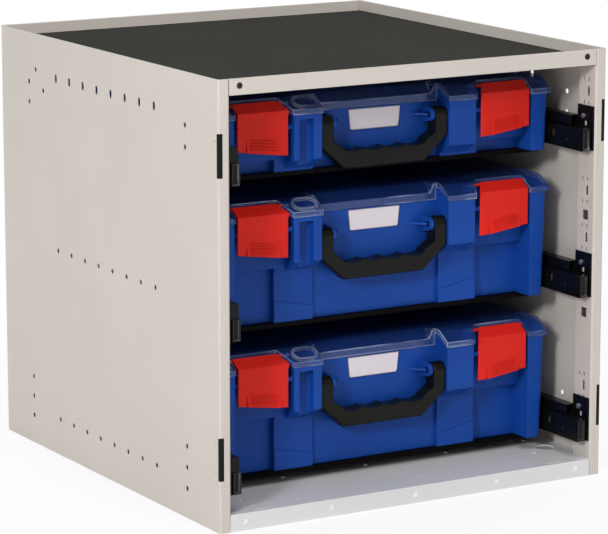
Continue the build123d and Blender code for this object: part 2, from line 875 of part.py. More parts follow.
# Two steel pins on which the lid turns
with BuildPart() as hinge_pins:
    pin_half = 3 * hinge_knuckle / 2 + hinge_side_gap
    for side in (-1, 1):
        middle = side * hinge_place
        rod(hinge_pin_radius, middle - pin_half, middle + pin_half, hinge_y, -hinge_drop)

# Toggle latch of the right-hand side: hinge barrel, sloping flap, skewed front plate and ribbed finger pad
flap_z = -latch_flap_drop
latch_low = flap_z - latch_length - latch_skew
latch_inside = latch_front + latch_thickness
latch_crown = latch_barrel_radius - latch_pivot_drop
barrel_in = latch_in + latch_slant
barrel_out = latch_out - latch_end_gap
pad_in = latch_in + latch_pad_margin
pad_out = latch_out - latch_pad_margin
pad_top = latch_low + latch_skew / 2 + latch_pad_height
rib_in = pad_in + latch_rib_margin
rib_out = pad_out - latch_rib_margin
skew_share = latch_skew / (latch_out - latch_in)
nib_in = (latch_in + latch_out - latch_nib_width) / 2
nib_rear = case_front + catch_bar_depth - catch_bar_radius - latch_nib_gap
pin_in = column_out + lid_overhang + recess_slant * latch_pivot_depth / latch_recess - lid_wall
pin_out = corner_in - lid_overhang + lid_wall

with BuildPart() as latch:
    with BuildSketch(Plane.YZ.offset(latch_in)):
        with BuildLine():
            Polyline(
                (latch_pivot_y, latch_crown),
                (latch_front, flap_z),
                (latch_front, latch_low),
                (latch_inside, latch_low),
                (latch_inside, flap_z - latch_thickness / 2),
                (latch_pivot_y, latch_crown - latch_thickness),
                close=True,
            )
        make_face()
    extrude(amount=latch_out - latch_in)
    # The flap narrows towards the barrel
    with BuildSketch(Plane.XY.offset(flap_z - latch_thickness)):
        with BuildLine():
            Polyline(
                (latch_in - overrun, latch_inside),
                (latch_in, latch_inside),
                (barrel_in, latch_pivot_y),
                (barrel_in, latch_pivot_y + overrun),
                (latch_in - overrun, latch_pivot_y + overrun),
                close=True,
            )
        make_face()
    extrude(amount=latch_crown + overrun - flap_z, mode=Mode.SUBTRACT)
    rod(latch_barrel_radius, barrel_in, barrel_out, latch_pivot_y, -latch_pivot_drop)
    rod(latch_pin_radius, pin_in, barrel_in, latch_pivot_y, -latch_pivot_drop)
    rod(latch_pin_radius, barrel_out, pin_out, latch_pivot_y, -latch_pivot_drop)
    # Finger pad, standing out towards its foot
    with BuildSketch(Plane.YZ.offset(pad_in)):
        with BuildLine():
            Polyline(
                (latch_front, pad_top),
                (latch_front - latch_pad_proud, latch_low),
                (latch_front, latch_low),
                close=True,
            )
        make_face()
    extrude(amount=pad_out - pad_in)
    # Ribs across the pad, parallel to the skewed foot
    for i in range(latch_rib_count):
        rib_low = latch_low + (i + 1) * latch_rib_pitch
        rib_rise = [rib_low + skew_share * (x - latch_in) for x in (rib_in, rib_out)]
        with BuildSketch(across(latch_front)):
            with BuildLine():
                Polyline(
                    (rib_in, rib_rise[0]),
                    (rib_out, rib_rise[1]),
                    (rib_out, rib_rise[1] + latch_rib_height),
                    (rib_in, rib_rise[0] + latch_rib_height),
                    close=True,
                )
            make_face()
        pad_face = latch_pad_proud * (pad_top - rib_rise[0]) / (pad_top - latch_low)
        extrude(amount=pad_face + latch_rib_proud)
    # Nib that meets the catch bar
    nib = (nib_in, nib_in + latch_nib_width, latch_inside, nib_rear)
    span(*nib, -catch_bar_drop - catch_bar_radius, -catch_bar_drop + catch_bar_radius)
    # Skewed foot and bevelled inner edge
    with BuildSketch(across(latch_pivot_y)):
        with BuildLine():
            Polyline(
                (latch_in, latch_low),
                (latch_out, latch_low + latch_skew),
                (latch_out, latch_low - overrun),
                (latch_in, latch_low - overrun),
                close=True,
            )
        make_face()
    extrude(amount=latch_pivot_depth + latch_proud + latch_pad_proud + overrun, mode=Mode.SUBTRACT)
    with BuildSketch(Plane.XY.offset(latch_low - overrun)):
        with BuildLine():
            Polyline(
                (latch_in, latch_front),
                (latch_in + latch_edge_bevel, latch_front),
                (latch_in, latch_front + latch_edge_depth),
                close=True,
            )
        make_face()
    extrude(amount=flap_z - latch_low, mode=Mode.SUBTRACT)

def card_block(margin, thickness):
    """Tapered card on the floor of its pocket, or the pocket itself when it has a margin."""
    top = margin - label_drop
    low = -label_drop - label_height - margin
    half = label_width / 2 + margin
    with BuildPart() as block:
        with BuildSketch(across(case_front + centre_recess + label_pocket)) as outline:
            with BuildLine():
                Polyline(
                    (-half, top),
                    (half, top),
                    (half - label_taper, low),
                    (label_taper - half, low),
                    close=True,
                )
            make_face()
            fillet(outline.vertices().group_by(Axis.Y)[0], label_corner + margin)
        extrude(amount=thickness)
    return block


# Blank card in a shallow pocket of the wall behind the handle
with BuildPart() as label:
    add(card_block(0, label_thickness).part)

# Bail handle, measured from its pivot: two arms, chamfered corners, a scalloped grip and inward stubs
arm_in = handle_half - handle_arm
boss_out = arm_in - boss_gap
boss_in = boss_out - boss_width
grip_z = handle_grip - handle_drop
with BuildPart() as handle:
    with BuildSketch(across(pivot_y)):
        with BuildLine():
            Polyline(
                (0, -handle_drop),
                (handle_half - handle_corner_run, -handle_drop),
                (handle_half, -handle_corner_drop),
                (handle_half, 0),
                (arm_in, 0),
                (arm_in, -handle_inner_drop),
                (arm_in - handle_inner_run, grip_z),
                (0, grip_z),
            )
            mirror(about=Plane.YZ)
        make_face()
    extrude(amount=handle_thickness / 2, both=True)
    rims = handle.edges().filter_by(Plane.XZ).filter_by(lambda edge: edge.center().Z < grip_z)
    fillet(rims.filter_by(lambda edge: abs(edge.center().X) < arm_in + handle_arm / 2), handle_fillet)
    for side in (-1, 1):
        arm = sorted((side * arm_in, side * handle_half))
        rod(handle_thickness / 2, *arm, pivot_y, 0)
        stub = sorted((side * boss_in, side * arm_in))
        rod(boss_pin_radius, *stub, pivot_y, 0)
    with BuildSketch(across(pivot_y)):
        with Locations((0, grip_z + scallop_radius - scallop_depth)):
            with GridLocations(scallop_pitch, 0, scallop_count, 1):
                Circle(scallop_radius)
        with Locations((0, grip_z)):
            Rectangle(scallop_pitch * scallop_count, 2 * scallop_depth, mode=Mode.INTERSECT)
    extrude(amount=handle_thickness, both=True, mode=Mode.SUBTRACT)


def tub(height, pivot_drop, ledge_drop):
    """Body of a case: drafted box with columns, latch seats, catch bars, handle lugs and hinge knuckles."""
    rim = height - lid_skirt
    draft = draft_share * height
    floor = case_wall
    column_low = height - column_drop
    ledge = height - ledge_drop
    seat_low = column_low - column_undercut
    shoulder_y = case_front + shoulder_recess
    pivot_z = height - pivot_drop
    centre_y = case_front + centre_recess
    panel_y = case_front + latch_panel_recess
    cavity_y = panel_y + case_wall
    ahead = case_front - overrun
    hinge_z = height - hinge_drop
    groove_x = -(column_in + column_out) / 2 - groove_shift
    groove_y = case_front + groove_depth - groove_radius
    groove_wall = groove_radius + case_wall
    groove_low = max(seat_low, 0)
    groove_top = height - groove_top_drop
    # Hollows behind the stepped front: range in X, front depth and floor height of each
    pockets = (
        (0, column_in - case_wall, centre_recess + case_wall, floor),
        (column_in + case_wall, shoulder_out - case_wall, shoulder_recess + chevron_depth + case_wall, floor),
        (column_in + case_wall, column_out - case_wall, case_wall, column_low + case_wall),
        (shoulder_out + case_wall, corner_in - case_wall, latch_recess + case_wall, ledge + case_wall),
        (corner_in + case_wall, case_half - draft - case_wall, case_wall, floor),
    )
    with BuildPart() as body:
        with BuildSketch():
            with Locations((0, case_front + (case_depth - draft) / 2)):
                RectangleRounded(2 * (case_half - draft), case_depth - draft, case_corner)
        with BuildSketch(Plane.XY.offset(rim)):
            with Locations((0, case_front + case_depth / 2)):
                RectangleRounded(2 * case_half, case_depth, case_corner)
        loft()
        # Main hollow
        with BuildSketch(Plane.XY.offset(floor)):
            with Locations((0, (cavity_y + case_rear - draft - case_wall) / 2)):
                hollow_depth = case_rear - draft - case_wall - cavity_y
                RectangleRounded(2 * (case_half - draft - case_wall), hollow_depth, case_corner)
        with BuildSketch(Plane.XY.offset(rim)):
            with Locations((0, (cavity_y + case_rear - case_wall) / 2)):
                RectangleRounded(2 * (case_half - case_wall), case_rear - case_wall - cavity_y, case_corner)
        loft(mode=Mode.SUBTRACT)
        for near, far, depth, low in pockets:
            for side in (-1, 1):
                reach = sorted((side * near, side * far))
                span(*reach, case_front + depth, cavity_y + case_corner, low, rim + overrun, mode=Mode.SUBTRACT)
        # Wall of the round-bottomed groove in the left column
        with BuildSketch(Plane.XY.offset(groove_low)):
            with Locations((groove_x, groove_y)):
                Circle(groove_wall)
                Rectangle(2 * groove_wall, groove_depth, align=(Align.CENTER, Align.MAX))
        extrude(amount=groove_top + case_wall - groove_low)
        before = (case_front - groove_wall - overrun, case_front)
        span(-column_out, -column_in, *before, -overrun, rim, mode=Mode.SUBTRACT)
        # Handle recess, full height
        span(-column_in, column_in, ahead, centre_y, -overrun, rim + overrun, mode=Mode.SUBTRACT)
        for side in (-1, 1):
            # Under the column the front steps back along a slope
            with BuildSketch(Plane.YZ.offset(side * column_in)):
                with BuildLine():
                    Polyline(
                        (ahead, -overrun),
                        (ahead, column_low),
                        (case_front, column_low),
                        (shoulder_y, seat_low),
                        (shoulder_y, -overrun),
                        close=True,
                    )
                make_face()
            extrude(amount=side * (corner_in - column_in), mode=Mode.SUBTRACT)
            # Latch seat above its ledge, and the panel set back below it
            seat = sorted((side * column_out, side * corner_in))
            span(*seat, ahead, recess_y, seat_low, rim + overrun, mode=Mode.SUBTRACT)
            panel = sorted((side * shoulder_out, side * corner_in))
            span(*panel, ahead, panel_y, -overrun, ledge, mode=Mode.SUBTRACT)
            # Slanting crease across the shoulder, where the case is deep enough for it
            if column_low > chevron_high:
                with BuildSketch(across(shoulder_y + chevron_depth)):
                    with BuildLine():
                        Polyline(
                            (side * column_in, chevron_low),
                            (side * shoulder_out, chevron_high),
                            (side * shoulder_out, column_low),
                            (side * column_in, column_low),
                            close=True,
                        )
                    make_face()
                extrude(amount=chevron_depth, mode=Mode.SUBTRACT)
            # Catch bar that the latch closes over
            rod(catch_bar_radius, *seat, case_front + catch_bar_depth, height - catch_bar_drop)
            # Handle lug with its gusset
            boss = sorted((side * boss_in, side * boss_out))
            with BuildSketch(Plane.YZ.offset(boss[0])):
                with BuildLine():
                    Polyline(
                        (pivot_y, pivot_z - boss_radius),
                        (centre_y, pivot_z - boss_foot),
                        (centre_y, pivot_z + boss_foot),
                        (pivot_y, pivot_z + boss_radius),
                        close=True,
                    )
                make_face()
                with Locations((pivot_y, pivot_z)):
                    Circle(boss_radius)
            extrude(amount=boss_width)
            with BuildSketch(Plane.XY.offset(pivot_z - boss_gusset_thickness / 2)):
                with BuildLine():
                    Polyline(
                        (side * boss_in, centre_y),
                        (side * (boss_in - boss_gusset), centre_y),
                        (side * boss_in, pivot_y),
                        close=True,
                    )
                make_face()
            extrude(amount=boss_gusset_thickness)
            rod(boss_pin_radius + bore_clearance, *boss, pivot_y, pivot_z, mode=Mode.SUBTRACT)
            # Rear hinge knuckle on a web
            knuckle = (side * hinge_place - hinge_knuckle / 2, side * hinge_place + hinge_knuckle / 2)
            rod(hinge_radius, *knuckle, hinge_y, hinge_z)
            web_top = hinge_z - hinge_pin_radius - bore_clearance
            span(*knuckle, case_rear - case_wall, hinge_y, hinge_z - hinge_web, web_top)
            rod(hinge_pin_radius + bore_clearance, *knuckle, hinge_y, hinge_z, mode=Mode.SUBTRACT)
        # Round-bottomed groove down the front of the left column
        with BuildSketch(Plane.XY.offset(-overrun)):
            with Locations((groove_x, groove_y)):
                Circle(groove_radius)
                Rectangle(2 * groove_radius, groove_depth, align=(Align.CENTER, Align.MAX))
        extrude(amount=groove_top + overrun, mode=Mode.SUBTRACT)
        with Locations((0, 0, height)):
            add(card_block(label_margin, label_pocket + overrun).part, mode=Mode.SUBTRACT)
            add(above_parting(lid_seat).part, mode=Mode.SUBTRACT)
    return body


tubs = {
    deep_height: tub(deep_height, deep_pivot_drop, deep_ledge_drop),
    shallow_height: tub(shallow_height, shallow_pivot_drop, shallow_ledge_drop),
}

# Every level gets its own slides, tray and case
for level, (base, height, pivot_drop) in levels.items():
    top = base + height
    for name, piece, z in (
        ("fixed_rail", fixed_rail, base),
        ("mid_rail", mid_rail, base),
        ("drawer_rail", drawer_rail, base),
        ("latch", latch, top),
    ):
        with BuildPart() as right:
            with Locations((0, 0, z)):
                add(piece.part)
        save(right, f"{level}_right_{name}")
        with BuildPart() as left:
            mirror(right.part, about=Plane.YZ)
        save(left, f"{level}_left_{name}")
    for name, piece, z in (
        ("rail_caps", rail_caps, base),
        ("carrier_tray", carrier_tray, base),
        ("tray_screws", tray_screws, base),
        ("tub", tubs[height], base),
        ("lid", lid, top),
        ("hinge_pins", hinge_pins, top),
        ("label", label, top),
        ("handle", handle, top - pivot_drop),
    ):
        with BuildPart() as placed:
            with Locations((0, 0, z)):
                add(piece.part)
        save(placed, f"{level}_{name}")
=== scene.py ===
"""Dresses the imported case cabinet: finishes, softened pieces, small fittings, stage, light and camera."""

import json
import logging
import math
from dataclasses import dataclass, field
from enum import Enum
from typing import Any, Union

import bmesh
import bpy
from mathutils import Matrix, Vector


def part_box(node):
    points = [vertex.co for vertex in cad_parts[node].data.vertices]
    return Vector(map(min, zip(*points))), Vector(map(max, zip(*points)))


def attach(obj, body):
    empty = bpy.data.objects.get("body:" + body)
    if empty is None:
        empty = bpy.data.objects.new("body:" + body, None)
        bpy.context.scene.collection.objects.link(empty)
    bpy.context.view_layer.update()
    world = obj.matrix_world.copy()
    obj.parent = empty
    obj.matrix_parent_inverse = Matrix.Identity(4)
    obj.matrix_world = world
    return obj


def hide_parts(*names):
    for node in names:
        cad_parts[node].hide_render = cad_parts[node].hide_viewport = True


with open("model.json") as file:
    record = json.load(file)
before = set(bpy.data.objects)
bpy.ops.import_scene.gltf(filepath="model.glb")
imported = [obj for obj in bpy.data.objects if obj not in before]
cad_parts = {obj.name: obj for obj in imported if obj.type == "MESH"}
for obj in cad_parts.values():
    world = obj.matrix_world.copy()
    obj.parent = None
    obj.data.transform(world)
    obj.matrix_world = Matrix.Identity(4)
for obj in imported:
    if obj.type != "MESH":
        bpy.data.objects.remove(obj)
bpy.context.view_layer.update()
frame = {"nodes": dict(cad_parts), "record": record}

LOG = logging.getLogger("case_cabinet")
MM = 0.001
LEVELS = ("lower", "middle", "upper")
SIDES = ("left", "right")
BEVEL_SAMPLES = 4
NOISE_ROUGHNESS = 0.55

# Sockets of a Mix node that mixes colours
MIX_MASK, MIX_FIRST, MIX_SECOND, MIX_COLOUR = 0, 6, 7, 2

Number = Union[int, float]
Triple = tuple[float, float, float]
Colour = Triple
Settings = dict[str, Any]
Sockets = dict[Union[str, int], Any]

# The value at which a mask starts and the value at which it is full
Band = tuple[float, float]

WHITE: Colour = (1.0, 1.0, 1.0)


class Flow:
    """A shader value: Python arithmetic on it adds Math nodes to its graph."""

    def __init__(self, graph: "Graph", socket: bpy.types.NodeSocket) -> None:
        """Wrap one output socket of a graph."""
        self.graph = graph
        self.socket = socket

    def math(self, operation: str, *others: Union["Flow", Number]) -> "Flow":
        """Add one Math node.

        Args:
            operation: the Math node's operation.
            others: further operands after this value.

        Returns:
            The node's result.
        """
        inputs = {i: value for i, value in enumerate((self, *others))}
        return self.graph.add("ShaderNodeMath", {"operation": operation}, inputs)

    def __add__(self, other: Union["Flow", Number]) -> "Flow":
        """Sum of two values."""
        return self.math("ADD", other)

    __radd__ = __add__

    def __mul__(self, other: Union["Flow", Number]) -> "Flow":
        """Product of two values."""
        return self.math("MULTIPLY", other)

    __rmul__ = __mul__

    def __sub__(self, other: Union["Flow", Number]) -> "Flow":
        """This value less another."""
        return self.math("SUBTRACT", other)

    def __rsub__(self, other: Number) -> "Flow":
        """A number less this value."""
        return (self * -1.0) + other

    def between(self, low: float, high: float, to_low: float = 0.0, to_high: float = 1.0) -> "Flow":
        """Ease this value from one range to another.

        Args:
            low: value that gives to_low.
            high: value that gives to_high.
            to_low: result at and below low.
            to_high: result at and above high.

        Returns:
            The eased value.
        """
        settings = {"interpolation_type": "SMOOTHSTEP"}
        inputs = {"Value": self, "From Min": low, "From Max": high, "To Min": to_low, "To Max": to_high}
        return self.graph.add("ShaderNodeMapRange", settings, inputs)


@dataclass(frozen=True)
class Grain:
    """A noise pattern: features per metre, octaves, and scale along X, Y and Z."""

    scale: float
    detail: float = 2.0
    stretch: Triple = (1.0, 1.0, 1.0)


class Graph:
    """A material's node tree."""

    def __init__(self, name: str) -> None:
        """Start an empty material.

        Args:
            name: the material's name.
        """
        self.material = bpy.data.materials.new(name)
        self.material.use_nodes = True
        self.tree = self.material.node_tree
        self.tree.nodes.clear()
        self.place = self.add("ShaderNodeTexCoord", {}, {}, "Object")

    def node(self, kind: str, settings: Settings, inputs: Sockets) -> bpy.types.Node:
        """Make one node, set it up and feed its sockets.

        Args:
            kind: the node's type.
            settings: attributes that are set before the sockets.
            inputs: socket name or index to a value or a Flow.

        Returns:
            The node.
        """
        node = self.tree.nodes.new(kind)
        for key, value in settings.items():
            setattr(node, key, value)
        for key, value in inputs.items():
            if isinstance(value, Flow):
                self.tree.links.new(value.socket, node.inputs[key])
            else:
                node.inputs[key].default_value = value
        return node

    def add(self, kind: str, settings: Settings, inputs: Sockets, output: Union[str, int] = 0) -> Flow:
        """Make one node and take its wanted output."""
        return Flow(self, self.node(kind, settings, inputs).outputs[output])

    def noise(self, grain: Grain) -> Flow:
        """Noise over the piece.

        Args:
            grain: the pattern.

        Returns:
            The noise value, about 0.5 on average.
        """
        mapped = self.add("ShaderNodeMapping", {}, {"Vector": self.place, "Scale": grain.stretch})
        inputs = {"Vector": mapped, "Scale": grain.scale, "Detail": grain.detail}
        inputs["Roughness"] = NOISE_ROUGHNESS
        return self.add("ShaderNodeTexNoise", {}, inputs, "Fac")

    def cells(self, scale: float) -> Flow:
        """Distance from the edges of Voronoi cells over the piece, so many cells per metre."""
        inputs = {"Vector": self.place, "Scale": scale}
        return self.add("ShaderNodeTexVoronoi", {"feature": "DISTANCE_TO_EDGE"}, inputs, "Distance")

    def blend(self, mask: Flow, first: Union[Flow, Colour], second: Union[Flow, Colour]) -> Flow:
        """Mix two colours.

        Args:
            mask: where each shows.
            first: the colour where the mask is 0.
            second: the colour where the mask is 1.

        Returns:
            The mixed colour.
        """
        low, high = (end if isinstance(end, Flow) else opaque(end) for end in (first, second))
        settings = {"data_type": "RGBA", "blend_type": "MIX"}
        inputs = {MIX_MASK: mask, MIX_FIRST: low, MIX_SECOND: high}
        return self.add("ShaderNodeMix", settings, inputs, MIX_COLOUR)

    def bumped(self, height: Flow, depth: float, strength: float, edge: float = 0.0) -> Flow:
        """Normal with a relief and softened edges.

        Args:
            height: relief, about 0 to 1.
            depth: depth of the relief in metres.
            strength: how much of it shows.
            edge: radius in metres that the edges are softened by, or zero.

        Returns:
            The normal.
        """
        inputs: Sockets = {"Height": height, "Distance": depth, "Strength": strength}
        if edge:
            inputs["Normal"] = self.add("ShaderNodeBevel", {"samples": BEVEL_SAMPLES}, {"Radius": edge})
        return self.add("ShaderNodeBump", {}, inputs)

    def edges(self, reach: float, band: Band) -> Flow:
        """Mask of the piece's edges: 1 at an edge and 0 on flat faces.

        Args:
            reach: how far from an edge the mask reaches, in metres.
            band: share of turn that starts the mask and share that fills it.

        Returns:
            The mask.
        """
        soft = self.add("ShaderNodeBevel", {"samples": BEVEL_SAMPLES}, {"Radius": reach})
        flat = self.add("ShaderNodeNewGeometry", {}, {}, "True Normal")
        facing = self.add("ShaderNodeVectorMath", {"operation": "DOT_PRODUCT"}, {0: soft, 1: flat}, "Value")
        return (1.0 - facing).between(*band)

    def upright(self, band: Band) -> Flow:
        """Mask of upright faces: 1 on a wall and 0 on a level face.

        Args:
            band: steepness that starts the mask and steepness that fills it.

        Returns:
            The mask.
        """
        flat = self.add("ShaderNodeNewGeometry", {}, {}, "True Normal")
        rise = self.add("ShaderNodeSeparateXYZ", {}, {"Vector": flat}, "Z").math("ABSOLUTE")
        return (1.0 - rise).between(*band)

    def glossy(self, inputs: Sockets) -> Flow:
        """A Principled surface with these sockets."""
        return self.add("ShaderNodeBsdfPrincipled", {}, inputs)

    def layered(self, mask: Flow, first: Flow, second: Flow) -> Flow:
        """Mix two surfaces: the first where the mask is 0, the second where it is 1."""
        return self.add("ShaderNodeMixShader", {}, {0: mask, 1: first, 2: second})

    def close(self, surface: Flow) -> bpy.types.Material:
        """End the graph in a surface and give the material."""
        self.node("ShaderNodeOutputMaterial", {}, {"Surface": surface})
        return self.material


def shade(colour: Colour, factor: float) -> Colour:
    """A colour made lighter or darker."""
    return tuple(min(1.0, channel * factor) for channel in colour)


def opaque(colour: Colour) -> tuple[float, float, float, float]:
    """A colour with full alpha, as a socket takes it."""
    return (*colour, 1.0)


@dataclass(frozen=True)
class PowderCoat:
    """Baked powder coat on sheet steel: fine orange peel, faint clouding, soft folds, and edges made paler by
    a painted highlight.
    """

    name: str
    colour: Colour
    roughness: float = 0.42
    peel: float = 0.22
    edge: float = 1.0 * MM
    shine: float = 0.35
    cloud: Grain = Grain(5.0, 3.0)
    cloud_band: Band = (0.3, 0.7)
    cloud_dark: float = 0.975
    cloud_pale: float = 1.02
    fine: Grain = Grain(1400.0)
    fine_relief: float = 0.35
    fine_rough: float = 0.06
    smear: Grain = Grain(16.0, 4.0, (1.0, 1.0, 0.35))
    smear_band: Band = (0.35, 0.75)
    smear_rough: float = 0.08
    rough_mean: float = 0.06
    peel_grain: Grain = Grain(620.0, 1.0)
    peel_depth: float = 0.12 * MM
    # The next three fields paint a paler colour along every edge and hole rim: a painted highlight
    edge_highlight_pale: float = 1.3
    edge_highlight_reach: float = 1.8 * MM
    edge_highlight_band: Band = (0.06, 0.2)

    def make(self) -> bpy.types.Material:
        """Build the material.

        Returns:
            The material.
        """
        graph = Graph(self.name)
        cloud = graph.noise(self.cloud).between(*self.cloud_band)
        fine = graph.noise(self.fine)
        smear = graph.noise(self.smear).between(*self.smear_band)
        height = graph.noise(self.peel_grain) + fine * self.fine_relief
        clouded = graph.blend(cloud, shade(self.colour, self.cloud_dark), shade(self.colour, self.cloud_pale))
        # Mask of the edges that get the painted highlight
        edge_highlight = graph.edges(self.edge_highlight_reach, self.edge_highlight_band)
        rough = smear * self.smear_rough + fine * self.fine_rough + (self.roughness - self.rough_mean)
        return graph.close(graph.glossy({
            "Base Color": graph.blend(edge_highlight, clouded, shade(self.colour, self.edge_highlight_pale)),
            "Roughness": rough,
            "Normal": graph.bumped(height, self.peel_depth, self.peel, self.edge),
            "Specular IOR Level": self.shine,
        }))


@dataclass(frozen=True)
class MouldedPlastic:
    """Injection-moulded plastic: spark-eroded grain, faint flow marks, soft edges and, where asked, a pale
    edge line that is partly wear and partly a painted highlight.
    """

    name: str
    colour: Colour
    roughness: float = 0.34
    edge: float = 0.7 * MM
    rub: float = 1.10
    shine: float = 0.4
    # The next four fields paint a paler line along the edges: partly edge wear, partly a painted highlight
    wear_and_glint: float = 0.0
    worn: Colour = (0.16, 0.16, 0.15)
    wear_and_glint_reach: float = 1.0 * MM
    worn_band: Band = (0.08, 0.26)
    flow: Grain = Grain(9.0, 2.0, (1.0, 1.0, 2.5))
    flow_band: Band = (0.3, 0.7)
    flow_dark: float = 0.95
    fine: Grain = Grain(2600.0)
    fine_rough: float = 0.08
    fine_depth: float = 0.06 * MM
    fine_relief: float = 0.18
    scuff: Grain = Grain(70.0, 5.0, (0.3, 1.0, 1.0))
    scuff_band: Band = (0.62, 0.8)
    scuff_rough: float = 0.1
    rough_mean: float = 0.05
    patch: Grain = Grain(40.0)
    patch_band: Band = (0.35, 0.65)
    patch_least: float = 0.25

    def make(self) -> bpy.types.Material:
        """Build the material.

        Returns:
            The material.
        """
        graph = Graph(self.name)
        flow = graph.noise(self.flow).between(*self.flow_band)
        fine = graph.noise(self.fine)
        scuff = graph.noise(self.scuff).between(*self.scuff_band)
        tint = graph.blend(flow, shade(self.colour, self.flow_dark), shade(self.colour, self.rub))
        # Paler line along the edges, in patches: partly edge wear, partly a painted highlight
        if self.wear_and_glint:
            patch = graph.noise(self.patch).between(*self.patch_band, self.patch_least)
            wear_and_glint_mask = graph.edges(self.wear_and_glint_reach, self.worn_band) * patch * self.wear_and_glint
            tint = graph.blend(wear_and_glint_mask, tint, self.worn)
        rough = fine * self.fine_rough + scuff * self.scuff_rough + (self.roughness - self.rough_mean)
        return graph.close(graph.glossy({
            "Base Color": tint,
            "Roughness": rough,
            "Normal": graph.bumped(fine, self.fine_depth, self.fine_relief, self.edge),
            "Specular IOR Level": self.shine,
        }))


@dataclass(frozen=True)
class ClearPlastic:
    """Clear moulded lid: see-through, glossier at a glance, with painted highlight lines along its edges that
    are pale here and dark there, and a painted blue of the lit tub seen through it, paler on upright faces.
    """

    name: str
    tint: Colour
    # The next two colours are painted: the blue of the lit tub seen through the lid, on level faces and,
    # paler, on upright faces
    level: Colour
    lit_tub_through_walls: Colour
    # Colour of the painted highlight lines along the edges
    highlight_line: Colour
    roughness: float = 0.05
    shine: float = 0.8
    refraction: float = 1.45
    veil: float = 0.05
    glance: float = 0.4
    # Upright faces show more of the painted see-through blue
    wall: float = 0.26
    wall_band: Band = (0.5, 0.95)
    edge: float = 0.8 * MM
    # The fields down to glint_dark paint lines along the edges: painted highlights, pale at the glints and
    # dark between them
    rim: float = 0.76
    rim_reach: float = 1.7 * MM
    rim_band: Band = (0.04, 0.22)
    glint: Grain = Grain(22.0, 1.0)
    glint_band: Band = (0.42, 0.66)
    glint_dark: float = 0.08
    ripple: Grain = Grain(24.0)
    ripple_share: float = 0.2
    ripple_depth: float = 0.4 * MM
    ripple_relief: float = 0.12
    wipe: Grain = Grain(45.0, 4.0, (0.4, 1.0, 1.0))
    wipe_band: Band = (0.55, 0.85)
    wipe_rough: float = 0.06
    wipe_veil: float = 0.02

    def make(self) -> bpy.types.Material:
        """Build the material.

        Returns:
            The material.
        """
        graph = Graph(self.name)
        ripple = graph.noise(self.ripple)
        wipe = graph.noise(self.wipe).between(*self.wipe_band)
        # Painted highlight lines along the edges, pale at the glints and dark between them
        rim = graph.edges(self.rim_reach, self.rim_band)
        glint = graph.noise(self.glint).between(*self.glint_band)
        highlight_line = graph.blend(glint, shade(self.highlight_line, self.glint_dark), self.highlight_line)
        # Painted see-through blue: upright faces get a paler blue standing in for the lit tub behind them
        wall = graph.upright(self.wall_band)
        body = graph.blend(wall, self.level, self.lit_tub_through_walls)
        clear = graph.add("ShaderNodeBsdfTransparent", {}, {"Color": opaque(self.tint)})
        rippled = ripple * self.ripple_share + (1.0 - self.ripple_share)
        gloss = graph.glossy({
            "Base Color": graph.blend(rim * rippled, body, highlight_line),
            "Roughness": wipe * self.wipe_rough + self.roughness,
            "Normal": graph.bumped(ripple, self.ripple_depth, self.ripple_relief, self.edge),
            "Specular IOR Level": self.shine,
        })
        glance = graph.add("ShaderNodeFresnel", {}, {"IOR": self.refraction}) * self.glance
        share = glance + rim * self.rim + wall * self.wall + wipe * self.wipe_veil + self.veil
        return graph.close(graph.layered(share, clear, gloss))


@dataclass(frozen=True)
class GrainedRubber:
    """Rubber mat with a leather-like grain, paler in worn patches, with painted shade darkening the grain's
    creases.
    """

    name: str
    colour: Colour
    roughness: float = 0.78
    shine: float = 0.3
    wrinkles: float = 330.0
    wrinkle_band: Band = (0.0, 0.22)
    pores: Grain = Grain(900.0, 3.0)
    pore_share: float = 0.4
    pore_rough: float = 0.1
    worn: Grain = Grain(11.0, 4.0)
    worn_band: Band = (0.35, 0.7)
    worn_share: float = 0.45
    worn_rough: float = 0.04
    rough_mean: float = 0.07
    # Creases are painted down to dark and the rest up to pale: painted crease shade
    dark: float = 0.4
    pale: float = 1.3
    depth: float = 0.5 * MM
    relief: float = 0.55

    def make(self) -> bpy.types.Material:
        """Build the material.

        Returns:
            The material.
        """
        graph = Graph(self.name)
        wrinkle = graph.cells(self.wrinkles).between(*self.wrinkle_band)
        pores = graph.noise(self.pores)
        worn = graph.noise(self.worn).between(*self.worn_band)
        pits = wrinkle * (pores * self.pore_share + (1.0 - self.pore_share))
        # Creases between the grain's cells are painted darker, a painted shade; worn patches come out paler
        crease_shade_and_wear = pits * (worn * self.worn_share + (1.0 - self.worn_share))
        rough = worn * self.worn_rough + pores * self.pore_rough + (self.roughness - self.rough_mean)
        return graph.close(graph.glossy({
            "Base Color": graph.blend(crease_shade_and_wear, shade(self.colour, self.dark), shade(self.colour, self.pale)),
            "Roughness": rough,
            "Normal": graph.bumped(pits, self.depth, self.relief),
            "Specular IOR Level": self.shine,
        }))


